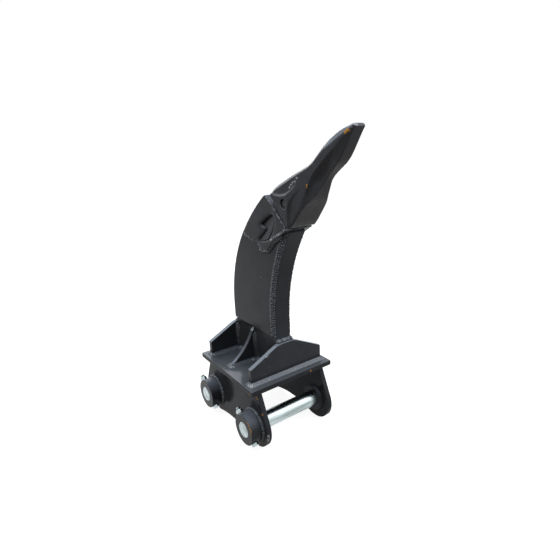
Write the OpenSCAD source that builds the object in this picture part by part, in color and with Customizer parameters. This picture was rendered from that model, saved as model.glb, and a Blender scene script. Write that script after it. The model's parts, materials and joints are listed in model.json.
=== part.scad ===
// Pin-on excavator ripper, standing on its hanger with the tooth at the top.
// X runs forward, the way the shank bends. Y runs along the pins. Z is up.
// The origin is the middle of the front pin, on which the dipper arm swings.

/* [Hanger] */
// Diameter of both hanger pins
pin_d = 50; // [44:1:60]
// Distance between the two pin axes
pin_spacing = 245; // [230:1:270]
// Depth of the pin axes below the base plate's underside
pin_drop = 120; // [108:1:150]
// Clear width between the two ears
ear_gap = 216; // [190:1:240]
// Thickness of each ear
ear_t = 15; // [10:1:20]
// Length of each ear along the base plate
ear_l = 292; // [280:1:310]
// Radius of the ear round each pin
lobe_r = 68; // [62:1:74]
// Rise of the arch between the lobes
arch_rise = 16; // [10:1:24]
// Diameter of the outer collars on the left ear
collar_d = 96; // [84:1:108]
// Length of the outer collars
collar_l = 40; // [32:1:50]
// Diameter of the inner bosses at the ear
boss_d = 88; // [76:1:100]
// Height of the inner bosses
boss_l = 10; // [4:1:16]
// Draw-in of an inner boss from the ear to its face
boss_taper = 4; // [1:0.5:8]

/* [Pins] */
// Radial clearance of the pins in the ears, collars and bosses
pin_clear = 0.2; // [0.1:0.05:0.4]
// Length of each pin that stands out of its collar
pin_left_proud = 1.5; // [0.5:0.5:6]
// Length of each pin that stands out of the right ear
pin_right_proud = 4; // [3:0.5:10]
// Chamfer on the pin ends and collar rims
pin_chamfer = 3; // [1:0.5:5]
// Thread diameter of the pin bolts
bolt_d = 12; // [10:1:16]
// Distance of a pin bolt from its collar's outer face
bolt_inset = 14; // [11:1:18]
// Slope of the pin bolts below the horizontal, towards the front
bolt_slope = 40; // [20:1:60]
// Length of bolt thread that stands out of the nut
bolt_proud = 9; // [4:1:14]
// Clearance round the pin bolts in their holes
bolt_clear = 0.5; // [0.3:0.1:1]

/* [Base plate] */
// Length of the base plate, front to rear
plate_l = 320; // [300:1:360]
// Width of the base plate
plate_w = 294; // [280:1:330]
// Thickness of the base plate
plate_t = 15; // [10:1:25]

/* [Gussets] */
// Thickness of the front and rear gussets
gusset_t = 15; // [10:1:20]
// Distance from the gussets' ends to the plate's edges
gusset_margin = 18; // [12:1:26]
// Height of the gussets at their ends
gusset_end_h = 49; // [35:1:60]
// Height of the gussets at the shank
gusset_h = 98; // [85:1:105]
// Width of the gussets' flat top, measured to its sharp corners
gusset_top_w = 60; // [56:1:80]
// Radius of the gussets' top corners
gusset_corner_r = 60; // [30:1:80]
// Thickness of the side gussets
side_gusset_t = 13; // [10:1:18]
// Distance of the side gussets behind the shank's middle
side_gusset_back = 12; // [0:1:40]
// Distance from the side gussets' toes to the plate's edges
side_gusset_margin = 31; // [24:1:44]
// Height of the side gussets at the shank
side_gusset_h = 99; // [80:1:108]
// Height of the side gussets' toes
side_gusset_toe = 6; // [4:1:16]
// Width of the side gussets' heads
side_gusset_head = 9; // [9:1:18]
// Radius of the side gussets' hollow edge
side_gusset_r = 190; // [150:1:400]

/* [Shank] */
// Thickness of the shank's middle plate
core_t = 50; // [40:1:60]
// Width of the shank at the base plate
shank_w = 232; // [216:1:246]
// Height at which the shank begins to bend
bend_z = 160; // [145:1:175]
// Radius of the shank's front edge
front_r = 485; // [450:1:520]
// Radius of the shank's rear edge
rear_r = 408; // [390:1:440]
// Height of the shank's front edge under the adapter
shank_end_z = 439; // [425:1:450]
// Thickness of the cheek plates
cheek_t = 8; // [6:1:10]
// Height of the cheek plates' lower edge
cheek_z = 116; // [112:1:140]
// Set-back of the cheek plates from the shank's front edge
cheek_front = 20; // [14:1:26]
// Set-back of the cheek plates from the shank's rear edge
cheek_rear = 3; // [1:1:10]

/* [Adapter] */
// Slope of the tooth above the horizontal
tooth_angle = 42; // [38:1:46]
// Width of the adapter over its side legs
adapter_w = 84; // [80:1:96]
// Height of the adapter's shoulder on the rear side of the tooth axis
shoulder_rear = 74; // [68:1:80]
// Height of the adapter's shoulder on the front side of the tooth axis
shoulder_front = 52; // [50:1:58]
// Set-back of the shoulder behind the tooth rim, at the rear
shoulder_rear_gap = 31; // [26:1:36]
// Set-back of the shoulder behind the tooth rim, at the front
shoulder_front_gap = 13; // [6:1:16]
// Reach of the side tongues behind the tooth rim
tongue_l = 158; // [150:1:166]
// Reach of the rear leg behind the tooth rim
rear_leg_l = 198; // [190:1:206]
// Radius of the adapter's bowed rear face
adapter_bow_r = 590; // [500:10:900]
// Length of the nose inside the tooth
nose_l = 84; // [70:1:90]
// Height of the nose at the tooth rim
nose_h = 80; // [72:1:84]
// Width of the nose at the tooth rim
nose_w = 56; // [48:1:60]
// Height of the nose at its tip
nose_tip_h = 36; // [28:1:42]
// Width of the nose at its tip
nose_tip_w = 40; // [32:1:44]

/* [Tooth] */
// Length of the tooth from its rim to its tip
tooth_l = 296; // [284:1:330]
// Height of the tooth's rim, front to rear
tooth_h = 116; // [112:1:122]
// Width of the tooth's body at the rim
tooth_w = 84; // [80:1:90]
// Width over the pin bosses
tooth_boss_w = 96; // [92:1:104]
// Width of the blade at the waist
blade_w = 60; // [56:1:68]
// Width of the front rib at the waist
rib_w = 21; // [18:1:28]
// Width of the tip
tip_w = 34; // [30:1:40]
// Thickness of the blunt tip
tip_t = 7; // [5:0.5:10]
// Distance of the tip in front of the tooth axis
tip_drop = 14; // [10:1:18]
// Gap between the nose and the tooth's socket
socket_clear = 0.4; // [0.2:0.1:0.8]
// Diameter of the tooth pin
tooth_pin_d = 20; // [16:1:21]
// Diameter of the pin holes in the tooth
tooth_hole_d = 25; // [23:1:28]
// Length of the tooth pin
tooth_pin_l = 88; // [80:1:90]
// Distance of the tooth pin from the tooth's rim
tooth_pin_s = 29; // [26:1:32]

/* [Welds] */
// Leg of the fillet welds on the plates
weld_leg = 9; // [5:1:10]
// Leg of the ring welds on the collars
collar_weld = 7; // [4:1:10]
// Leg of the welds round the adapter's legs
adapter_weld = 8; // [5:1:9]
// Leg of the weld on the ledge behind the adapter
ledge_weld = 11; // [6:1:14]

/* [Hidden] */
$fn = 96;
paint = "#3c3d40";
cast_paint = "#464648";
weld_paint = "#4c4d50";
zinc = "#c9c8bf";

// Places across the hanger
plate_x = -pin_spacing / 2;
plate_z = pin_drop + plate_t;
ear_out = ear_gap / 2 + ear_t;
collar_out = ear_out + collar_l;
bolt_y = -(collar_out - bolt_inset);
bolt_seat_gap = 0.2;
bolt_seat = collar_d / 2 + bolt_seat_gap;
hex_across = 1.58 * bolt_d;
head_h = 0.65 * bolt_d;
nut_h = 0.85 * bolt_d;
pin_bore = pin_d + 2 * pin_clear;

// Shank arcs, seen from the side with the base plate's top centre as origin
front_c = [shank_w / 2 + front_r, bend_z];
rear_c = [-shank_w / 2 + rear_r, bend_z];
front_end = [front_c.x - sqrt(front_r ^ 2 - (shank_end_z - bend_z) ^ 2), shank_end_z];
gusset_w = plate_w - 2 * gusset_margin;
side_reach = plate_w / 2 - side_gusset_margin;
cheek_out = core_t / 2 + cheek_t;

// The tooth's own axes: s from the rim to the tip, n towards the rear.
// The shank's front end lies this far behind the rim and below the axis.
end_behind = 24;
end_below = 54;
axis_s = [cos(tooth_angle), sin(tooth_angle)];
axis_n = [-sin(tooth_angle), cos(tooth_angle)];
tooth_o = front_end + end_behind * axis_s + end_below * axis_n;

// Adapter outline in the tooth's axes, counter-clockwise
leg_front = 37;
tongue_rear = 12;
rear_leg_front = 26;
rear_corner = [-rear_leg_l, shoulder_rear - 3];
rear_leg_toe = [-rear_leg_l + 27, rear_leg_front];
tongue_toe = [-tongue_l, -18];
tongue_heel = [-tongue_l + 4, tongue_rear];
tongue_point = [-tongue_l + 30, -leg_front - 1];
leg_bend = [-tongue_l + 71, -leg_front + 1];
shoulder_low = [-shoulder_front_gap, -shoulder_front];
shoulder_high = [-shoulder_rear_gap, shoulder_rear];
shoulder_bend = [-20, 36];
adapter_points = [
    shoulder_high, rear_corner, rear_leg_toe, tongue_heel,
    tongue_toe, tongue_point, leg_bend, shoulder_low, shoulder_bend
];
ledge_dir = (rear_corner - rear_leg_toe) / norm(rear_corner - rear_leg_toe);

// Solid part of the adapter, behind which the shank's middle plate ends
seat_front = [-end_behind + 1, -end_below - 4];
seat_s = -60;
seat_bevel_n = -10;
rear_wall = 23;
wall_in = shoulder_rear - rear_wall;
wall_foot = rear_leg_toe + ledge_dir * (wall_in - rear_leg_toe.y) / ledge_dir.y;
past = 150;
block_points = [
    [seat_front.x, -past], seat_front, [seat_s, seat_bevel_n], [seat_s, wall_in],
    wall_foot, rear_leg_toe + ledge_dir * past, [past, past], [past, -past]
];

// Opening in each side leg, through which the leg is welded to the shank
window_points = [
    [-40, 19], [-70, 27], [-106, 34], [-97, 20], [-87, 10], [-96, 5], [-124, 8],
    [-147, 9], [-134, -4], [-102, -19], [-77, -15], [-58, -10], [-38, 4]
];
window_deep = 5;
window_shallow = 16.5;

// Nose and socket
nose_root = shoulder_rear_gap;
nose_tip_n = -6;
tooth_pin_n = -1;
retainer_d = 34;
retainer_w = 7;
retainer_clear = 0.3;
retainer_slit = 8;
nose_flank = (nose_w - nose_tip_w) / 2 / nose_l;
retainer_face = -(nose_w / 2 - nose_flank * (tooth_pin_s + retainer_d / 2)) + retainer_clear;

// Tooth sections along its length
tip_n = -tip_drop;
rim_rear = tooth_h / 2 + 2;
rim_front = tooth_h / 2 - 2;
boss_rear = rim_rear - 8;
boss_front = rim_front - 7;
boss_end_s = 98;
boss_flat_s = 48;
scallop_r = 103;
scallop_gap = 4;
boss_deep = 12;
rim_s = 18;
waist_s = 150;
fullest_s = 212;
step_s = 11;
rear_curve = [
    [0, rim_rear], [rim_s, rim_rear - 1], [75, 42], [waist_s, 15], [fullest_s, 13.5],
    [240, 9], [270, 2], [tooth_l, tip_n + tip_t / 2]
];
front_curve = [
    [0, -rim_front], [rim_s, -rim_front + 1], [50, -50], [78, -47], [100, -46.5], [130, -41],
    [160, -35], [190, -36], [fullest_s, -38], [232, -35.5], [tooth_l, tip_n - tip_t / 2]
];
side_curve = [
    [0, tooth_w / 2], [40, tooth_w / 2], [75, tooth_w / 2 - 3], [waist_s, blade_w / 2],
    [fullest_s, blade_w / 2 - 2], [258, blade_w / 2 - 5], [tooth_l, tip_w / 2]
];
rib_curve = [
    [0, tooth_w / 2 - 2], [50, tooth_w / 2 - 4], [78, tooth_w / 2 - 7], [92, 30], [108, rib_w / 2 + 12],
    [130, rib_w / 2 + 7], [waist_s, rib_w / 2], [165, rib_w / 2], [190, rib_w / 2 + 2.5],
    [fullest_s, rib_w / 2 + 5.5], [240, rib_w / 2 + 5.5], [tooth_l, tip_w / 2 - 2]
];
scoop_curve = [
    [0, -rim_front + 6], [rim_s, -rim_front + 7], [50, -43], [78, -38], [92, -32], [108, -24],
    [130, -14], [waist_s, -10], [fullest_s, -12], [240, -14], [tooth_l, tip_n]
];
hollow_curve = [[0, -0.3], [70, -0.3], [96, 0.5], [130, 0.85], [195, 0.75], [240, 0.1], [tooth_l, 0.05]];
chamfer_y_curve = [[0, 5], [rim_s, 6], [60, 8], [waist_s, 6], [fullest_s, 5], [230, 4], [tooth_l, 4]];
chamfer_n_curve = [[0, 6], [rim_s, 8], [60, 10], [waist_s, 6], [fullest_s, 7], [235, 11], [270, 12], [tooth_l, 4]];

// Point where the tangent from p meets the circle (c, r), on its forward side
function tangent_foot(p, c, r) =
    let (d = norm(c - p), turn = atan2(c.y - p.y, c.x - p.x) + asin(r / d))
    p + sqrt(d ^ 2 - r ^ 2) * [cos(turn), sin(turn)];

// Centre of the arc of radius r from a to b that bows to the right of the way from a to b
function arc_centre(a, b, r) =
    let (m = (a + b) / 2, e = (b - a) / norm(b - a))
    m + sqrt(r ^ 2 - (norm(b - a) / 2) ^ 2) * [e.y, -e.x];

// Value of a curve at s, with its corners rounded off
function along(s, curve) =
    (lookup(max(s - step_s, 0), curve) + 2 * lookup(s, curve) + lookup(min(s + step_s, tooth_l), curve)) / 4;

// Turns a side-view outline into a plate of thickness t, centred on the middle plane
module side_plate(t) rotate([90, 0, 0]) linear_extrude(t, center = true) children();

// Turns a side-view outline into a plate that runs from y0 to y1
module side_slab(y0, y1) translate([0, y1, 0]) rotate([90, 0, 0]) linear_extrude(y1 - y0) children();

// Turns a front-view outline into a plate of thickness t, centred on x = 0
module front_plate(t) rotate([90, 0, 90]) linear_extrude(t, center = true) children();

// Moves a child drawn about the base plate's top centre to its place
module on_plate() translate([plate_x, 0, plate_z]) children();

// Moves a child drawn in the tooth's axes to its place
module on_tooth() on_plate() translate([tooth_o.x, 0, tooth_o.y]) rotate([0, -tooth_angle, 0]) children();

// Turns an outline in the tooth's axes into the side view
module tooth_view() translate(tooth_o) rotate(tooth_angle) children();

// Repeats a child on both sides of the middle plane
module both_sides() {
    children();
    mirror([0, 1, 0]) children();
}

// Cylinder along Y from y0 to y1
module y_rod(d, y0, y1) translate([0, y1, 0]) rotate([90, 0, 0]) cylinder(d = d, h = y1 - y0);

// Ring along Y: a profile of radius and height, turned about the Y axis, with its height towards -Y
module y_ring() rotate([90, 0, 0]) rotate_extrude() children();

// Cross bolt axis of a hanger pin, with local Z towards the lower front
module on_bolt_axis() translate([0, bolt_y, 0]) rotate([0, 90 + bolt_slope, 0]) children();

// Hole for the cross bolt
module bolt_hole() on_bolt_axis() cylinder(d = bolt_d + 2 * bolt_clear, h = 2 * collar_d, center = true);

// Base plate, one flat piece
module base_plate() color(paint) on_plate()
    translate([-plate_l / 2, -plate_w / 2, -plate_t]) cube([plate_l, plate_w, plate_t]);

// Side outline of an ear: flared to the two lobes, with an arch between them
module ear_outline() {
    pin = [pin_spacing / 2, -plate_t - pin_drop];
    low = pin.y - lobe_r;
    edge = [ear_l / 2, -plate_t];
    foot = tangent_foot(edge, pin, lobe_r);
    corner = edge + (foot - edge) * (low - edge.y) / (foot.y - edge.y);
    arch_half = pin.x - lobe_r / 4;
    arch_r = (arch_half ^ 2 + arch_rise ^ 2) / (2 * arch_rise);
    difference() {
        polygon([[-edge.x, edge.y], edge, corner, [-corner.x, low]]);
        for (side = [0, 1]) mirror([side, 0]) difference() {
            polygon([foot, 2 * corner - foot, [pin.x, low - lobe_r], pin]);
            translate(pin) circle(lobe_r);
        }
        translate([0, low + arch_rise - arch_r]) circle(arch_r);
        for (x = [-pin.x, pin.x]) translate([x, pin.y]) circle(d = pin_bore);
    }
}

module left_ear() color(paint) on_plate() side_slab(-ear_out, -ear_gap / 2) ear_outline();
module right_ear() color(paint) on_plate() side_slab(ear_gap / 2, ear_out) ear_outline();

// Outer collar with a chamfered rim and the cross hole for its bolt
module collar() color(paint) difference() {
    translate([0, -ear_out, 0]) y_ring() polygon([
        [pin_bore / 2, 0], [collar_d / 2, 0], [collar_d / 2, collar_l - pin_chamfer / 2],
        [collar_d / 2 - pin_chamfer / 2, collar_l], [pin_bore / 2, collar_l]
    ]);
    bolt_hole();
}

// Inner boss, tapered from the ear to the face that the arm or link runs against
module inner_boss() color(paint) translate([0, ear_gap / 2, 0]) y_ring() polygon([
    [pin_bore / 2, 0], [boss_d / 2, 0], [boss_d / 2 - boss_taper, boss_l], [pin_bore / 2, boss_l]
]);

module front_collar() collar();
module rear_collar() translate([-pin_spacing, 0, 0]) collar();
module front_right_boss() inner_boss();
module rear_right_boss() translate([-pin_spacing, 0, 0]) inner_boss();
module front_left_boss() mirror([0, 1, 0]) front_right_boss();
module rear_left_boss() mirror([0, 1, 0]) rear_right_boss();

// Hanger pin with chamfered ends and the cross hole for its bolt
module hanger_pin() color(zinc) difference() {
    pin_l = collar_out + pin_left_proud + ear_out + pin_right_proud;
    translate([0, ear_out + pin_right_proud, 0]) y_ring() polygon([
        [0, 0], [pin_d / 2 - pin_chamfer, 0], [pin_d / 2, pin_chamfer], [pin_d / 2, pin_l - pin_chamfer],
        [pin_d / 2 - pin_chamfer, pin_l], [0, pin_l]
    ]);
    bolt_hole();
}

// Hexagon-headed bolt across the collar and the pin, with its head at the lower front
module pin_bolt() color(zinc) on_bolt_axis() {
    translate([0, 0, bolt_seat]) cylinder(d = hex_across / cos(30), h = head_h, $fn = 6);
    shank_l = 2 * bolt_seat + nut_h + bolt_proud;
    translate([0, 0, bolt_seat - shank_l]) cylinder(d = bolt_d, h = shank_l);
}

// Nut on the upper rear end of the bolt
module pin_nut() color(zinc) on_bolt_axis() translate([0, 0, -bolt_seat - nut_h]) difference() {
    cylinder(d = hex_across / cos(30), h = nut_h, $fn = 6);
    translate([0, 0, -1]) cylinder(d = bolt_d + 0.3, h = nut_h + 2);
}

module dipper_pin() hanger_pin();
module link_pin() translate([-pin_spacing, 0, 0]) hanger_pin();
module dipper_pin_bolt() pin_bolt();
module link_pin_bolt() translate([-pin_spacing, 0, 0]) pin_bolt();
module dipper_pin_nut() pin_nut();
module link_pin_nut() translate([-pin_spacing, 0, 0]) pin_nut();

// Side outline of the shank, drawn in from its front and rear edges
module shank_outline(front_in, rear_in, low) {
    translate([-shank_w / 2 + rear_in, low]) square([shank_w - front_in - rear_in, bend_z - low]);
    intersection() {
        difference() {
            translate(rear_c) circle(rear_r - rear_in);
            translate(front_c) circle(front_r + front_in);
        }
        translate([-shank_w, bend_z]) square([2 * shank_w, 2 * shank_end_z]);
    }
}

// Middle plate of the shank, cut to end inside the adapter
module core_outline() difference() {
    shank_outline(0, 0, 0);
    tooth_view() polygon(block_points);
}

// Cheek plate, cut to fit round the adapter's leg
module cheek_outline() difference() {
    shank_outline(cheek_front, cheek_rear, cheek_z);
    tooth_view() polygon(block_points);
    adapter_outline();
}

module shank_core() color(paint) on_plate() side_plate(core_t) core_outline();
module left_cheek() color(paint) on_plate() side_slab(-cheek_out, -core_t / 2) cheek_outline();
module right_cheek() color(paint) on_plate() side_slab(core_t / 2, cheek_out) cheek_outline();

// Front view of the front and rear gussets, with rounded top corners
module gusset_outline() {
    slope = atan2(gusset_h - gusset_end_h, (gusset_w - gusset_top_w) / 2);
    tangent = gusset_corner_r * tan(slope / 2);
    flat = gusset_top_w / 2 - tangent;
    ramp = [gusset_top_w / 2 + tangent * cos(slope), gusset_h - tangent * sin(slope)];
    half = gusset_w / 2;
    intersection() {
        polygon([
            [-half, 0], [half, 0], [half, gusset_end_h], [gusset_top_w / 2, gusset_h],
            [-gusset_top_w / 2, gusset_h], [-half, gusset_end_h]
        ]);
        union() {
            polygon([
                [-half, 0], [half, 0], [half, gusset_end_h], ramp, [flat, gusset_h],
                [-flat, gusset_h], [-ramp.x, ramp.y], [-half, gusset_end_h]
            ]);
            for (y = [-flat, flat]) translate([y, gusset_h - gusset_corner_r]) circle(gusset_corner_r);
        }
    }
}

module cross_gusset(x) on_plate() translate([x, 0, 0]) front_plate(gusset_t) gusset_outline();
module front_gusset() color(paint) cross_gusset((shank_w + gusset_t) / 2);
module rear_gusset() color(paint) cross_gusset(-(shank_w + gusset_t) / 2);

// Side gusset with a hollow edge from its head at the shank to its toe
module side_gusset() on_plate() translate([-side_gusset_back, 0, 0]) front_plate(side_gusset_t) difference() {
    root = core_t / 2;
    head = [root + side_gusset_head, side_gusset_h];
    toe = [side_reach, side_gusset_toe];
    polygon([[root, 0], [toe.x, 0], toe, head, [root, head.y]]);
    translate(arc_centre(toe, head, side_gusset_r)) circle(side_gusset_r);
}

module right_side_gusset() color(paint) side_gusset();
module left_side_gusset() color(paint) mirror([0, 1, 0]) side_gusset();

// Side outline of the adapter, with its bowed rear face
module adapter_outline() tooth_view() intersection() {
    chord = norm(shoulder_high - rear_corner);
    bow = adapter_bow_r - sqrt(adapter_bow_r ^ 2 - (chord / 2) ^ 2);
    polygon([for (p = adapter_points) p.y > wall_in ? p + [0, 2 * bow] : p]);
    translate(arc_centre(rear_corner, shoulder_high, adapter_bow_r)) circle(adapter_bow_r);
}

// Tapered nose, grown by a clearance
module nose(grow, s0) {
    fall = (nose_h / 2 - nose_tip_n - nose_tip_h / 2) / nose_l;
    rise = (nose_h / 2 + nose_tip_n - nose_tip_h / 2) / nose_l;
    corners = [for (s = [s0, nose_l + grow]) let (
        y = nose_w / 2 - nose_flank * s + grow,
        top = nose_h / 2 - fall * s + grow,
        low = -nose_h / 2 + rise * s - grow
    ) each [[s, -y, low], [s, y, low], [s, y, top], [s, -y, top]]];
    polyhedron(corners, [
        [0, 1, 2, 3], [7, 6, 5, 4], [4, 5, 1, 0], [5, 6, 2, 1], [6, 7, 3, 2], [7, 4, 0, 3]
    ]);
}

module adapter() color(cast_paint) difference() {
    union() {
        on_plate() side_plate(core_t) difference() {
            adapter_outline();
            core_outline();
        }
        on_plate() both_sides() side_slab(core_t / 2, adapter_w / 2) difference() {
            adapter_outline();
            tooth_view() polygon(window_points);
        }
        on_tooth() nose(0, -nose_root);
    }
    on_tooth() translate([tooth_pin_s, 0, tooth_pin_n]) {
        y_rod(tooth_pin_d + 0.4, -adapter_w, adapter_w);
        y_rod(retainer_d + 2 * retainer_clear, -adapter_w, retainer_face + retainer_w + retainer_clear);
    }
}

// Half section of the tooth at s, from the rear face round to the front rib
function half_section(s) = let (
    rear = along(s, rear_curve), front = along(s, front_curve),
    side = along(s, side_curve), rib = along(s, rib_curve), scoop = along(s, scoop_curve),
    hollow = along(s, hollow_curve), cut_y = along(s, chamfer_y_curve), cut_n = along(s, chamfer_n_curve)
) concat(
    [[s, side - cut_y, rear], [s, side, max(rear - cut_n, scoop + 1)]],
    [for (t = [0 : 0.2 : 1]) let (swell = hollow * sin(180 * t) / 4) [
        s, side - (side - rib) * (t + swell), scoop + (front - scoop) * (t - swell)
    ]]
);

function mirrored(points) = [for (i = [len(points) - 1 : -1 : 0]) [points[i].x, -points[i].y, points[i].z]];

// Body of the tooth, lofted through its sections
module tooth_body() {
    count = ceil(tooth_l / step_s);
    sections = [for (i = [0 : count]) let (half = half_section(tooth_l * i / count)) concat(half, mirrored(half))];
    ring = len(sections[0]);
    faces = [for (i = [0 : count - 1], k = [0 : ring - 1]) let (
        a = i * ring + k, b = i * ring + (k + 1) % ring
    ) each [[a, b, a + ring], [b, b + ring, a + ring]]];
    polyhedron(
        [for (section = sections) each section],
        concat(faces, [[for (k = [ring - 1 : -1 : 0]) k]], [[for (k = [0 : ring - 1]) count * ring + k]])
    );
}

// Raised boss round the tooth pin, with sloping scallops that leave a falling ridge
module tooth_boss() intersection() {
    difference() {
        translate([0, tooth_boss_w / 2 - boss_deep, -boss_front]) cube([boss_end_s, boss_deep, boss_front + boss_rear]);
        for (up = [-1, 1]) translate([boss_end_s, tooth_boss_w / 2 + 1, up * (scallop_r + scallop_gap)])
            rotate([90, 0, 0]) cylinder(r1 = scallop_r + 7, r2 = scallop_r + 5 - boss_deep, h = boss_deep + 2);
    }
    linear_extrude(2 * tooth_h, center = true) polygon([
        [0, 0], [boss_end_s, 0], [boss_end_s, along(boss_end_s, side_curve)],
        [boss_flat_s, tooth_boss_w / 2], [0, tooth_boss_w / 2]
    ]);
}

module tooth() color(cast_paint) on_tooth() difference() {
    union() {
        tooth_body();
        both_sides() tooth_boss();
    }
    nose(socket_clear, -1);
    translate([tooth_pin_s, 0, tooth_pin_n]) y_rod(tooth_hole_d, -tooth_boss_w, tooth_boss_w);
}

module tooth_pin() color(zinc) on_tooth() translate([tooth_pin_s, 0, tooth_pin_n])
    y_rod(tooth_pin_d, -tooth_pin_l / 2, tooth_pin_l / 2);

// Split spring ring that keeps the tooth pin in the nose
module tooth_pin_retainer() color("#77787a") on_tooth() translate([tooth_pin_s, 0, tooth_pin_n]) difference() {
    y_rod(retainer_d, retainer_face, retainer_face + retainer_w);
    y_rod(tooth_pin_d + 0.4, -tooth_boss_w, tooth_boss_w);
    translate([-retainer_slit / 2, -tooth_boss_w, 0]) cube([retainer_slit, 2 * tooth_boss_w, retainer_d]);
}

// Sloping skirt of fillet weld round a footprint of lx by ly
module weld_skirt(lx, ly) intersection() {
    side_plate(ly + 2 * weld_leg) polygon([
        [-lx / 2 - weld_leg, 0], [lx / 2 + weld_leg, 0], [lx / 2, weld_leg], [-lx / 2, weld_leg]
    ]);
    front_plate(lx + 2 * weld_leg) polygon([
        [-ly / 2 - weld_leg, 0], [ly / 2 + weld_leg, 0], [ly / 2, weld_leg], [-ly / 2, weld_leg]
    ]);
}

// Upright fillet weld in a corner that opens towards sx and sy
module upright_weld(x, y, sx, sy, h) translate([x, y, 0])
    linear_extrude(h) polygon([[0, 0], [sx * weld_leg, 0], [0, sy * weld_leg]]);

// Welds of the gussets and of the shank's foot, as one run of beads
module gusset_welds() color(weld_paint) difference() {
    on_plate() {
        for (x = [-1, 1]) translate([x * (shank_w + gusset_t) / 2, 0, 0]) weld_skirt(gusset_t, gusset_w);
        translate([-side_gusset_back, 0, 0]) weld_skirt(side_gusset_t, 2 * side_reach);
        weld_skirt(shank_w, core_t);
        for (y = [-1, 1]) {
            for (x = [-1, 1]) {
                upright_weld(x * shank_w / 2, y * core_t / 2, -x, y, gusset_h - weld_leg);
                upright_weld(x * side_gusset_t / 2 - side_gusset_back, y * core_t / 2, x, y, side_gusset_h - weld_leg);
            }
            translate([-side_gusset_back, y * core_t / 2, side_gusset_h]) front_plate(side_gusset_t)
                polygon([[0, 0], [y * side_gusset_head, 0], [0, weld_leg]]);
        }
        for (x = [-1, 1]) translate([x * shank_w / 2, 0, gusset_h - 2]) side_plate(core_t)
            polygon([[0, 0], [x * (weld_leg + 2), 0], [0, weld_leg + 2]]);
    }
    shank_core();
    front_gusset();
    rear_gusset();
    left_side_gusset();
    right_side_gusset();
}

// Fillet welds along both faces of both ears, under the base plate
module ear_welds() color(weld_paint) on_plate() both_sides() translate([0, 0, -plate_t]) {
    front_plate(ear_l) polygon([[ear_out, 0], [ear_out + weld_leg, 0], [ear_out, -weld_leg]]);
    front_plate(ear_l) polygon([[ear_gap / 2, 0], [ear_gap / 2 - weld_leg, 0], [ear_gap / 2, -weld_leg]]);
}

// Ring welds between the collars and the left ear
module collar_welds() color(weld_paint) for (x = [0, -pin_spacing]) translate([x, -ear_out, 0]) y_ring()
    polygon([[collar_d / 2, 0], [collar_d / 2 + collar_weld, 0], [collar_d / 2, collar_weld]]);

// Broad welds along the cheek plates' front edges, up to the adapter
module cheek_welds() color(weld_paint) difference() {
    on_plate() both_sides() {
        translate([shank_w / 2, 0, cheek_z]) linear_extrude(bend_z - cheek_z) polygon([
            [-cheek_front, core_t / 2], [-1, core_t / 2], [-cheek_front, cheek_out]
        ]);
        rise = asin((shank_end_z - bend_z) / front_r);
        translate([front_c.x, 0, front_c.y]) rotate([90, 0, 0]) rotate(180 - rise)
            mirror([0, 0, 1]) rotate_extrude(angle = rise) polygon([
                [front_r + cheek_front, core_t / 2], [front_r + 1, core_t / 2], [front_r + cheek_front, cheek_out]
            ]);
    }
    on_plate() side_plate(2 * adapter_w) {
        adapter_outline();
        tooth_view() polygon(block_points);
    }
}

// Length by which welds on both sides of a corner b run on to cross: past an outward corner, short of an inward one
function mitre(a, b, c) =
    let (turn = (atan2(c.y - b.y, c.x - b.x) - atan2(b.y - a.y, b.x - a.x) + 540) % 360 - 180)
    turn > 0 ? adapter_weld * tan(turn / 2) + 0.7 : -0.5;

// Fillet weld along one edge of the adapter's outline, in the tooth's axes
module edge_weld(a, b, run_in, run_on) {
    e = b - a;
    translate([a.x, cheek_out, a.y]) rotate([0, 90 - atan2(e.y, e.x), 0])
        translate([0, 0, -run_in]) linear_extrude(norm(e) + run_in + run_on)
            polygon([[0, 0], [adapter_weld, 0], [0, adapter_weld]]);
}

// Welds round the adapter's legs, on the ledge behind it and in the legs' openings
module adapter_welds() color(weld_paint) on_tooth() {
    both_sides() {
        toe_end = leg_bend + 0.45 * (shoulder_low - leg_bend);
        run = [rear_corner, rear_leg_toe, tongue_heel, tongue_toe, tongue_point, leg_bend, toe_end];
        last = len(run) - 2;
        for (i = [0 : last]) edge_weld(
            run[i], run[i + 1],
            i > 0 ? mitre(run[i - 1], run[i], run[i + 1]) : 0,
            i < last ? mitre(run[i], run[i + 1], run[i + 2]) : 0
        );
        intersection() {
            side_slab(core_t / 2, adapter_w / 2) polygon(window_points);
            translate([0, core_t / 2, 0]) front_plate(4 * tongue_l) polygon([
                [-1, -past], [window_shallow, -20], [window_deep, 34], [-1, past]
            ]);
        }
    }
    bow_out = (rear_corner - arc_centre(rear_corner, shoulder_high, adapter_bow_r)) / adapter_bow_r;
    side_plate(2 * cheek_out) polygon([
        rear_corner, rear_corner + ledge_weld * ledge_dir, rear_corner + ledge_weld * [bow_out.y, -bow_out.x]
    ]);
}

base_plate();
left_ear();
right_ear();
front_collar();
rear_collar();
front_left_boss();
rear_left_boss();
front_right_boss();
rear_right_boss();
dipper_pin();
link_pin();
dipper_pin_bolt();
link_pin_bolt();
dipper_pin_nut();
link_pin_nut();
shank_core();
left_cheek();
right_cheek();
front_gusset();
rear_gusset();
left_side_gusset();
right_side_gusset();
adapter();
tooth();
tooth_pin();
tooth_pin_retainer();
gusset_welds();
ear_welds();
collar_welds();
cheek_welds();
adapter_welds();
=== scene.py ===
"""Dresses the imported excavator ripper: rounded edges, weld beads, threads and finishes, on a stage."""

import json
import math
import random

import bpy
from mathutils import Matrix, Vector

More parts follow.
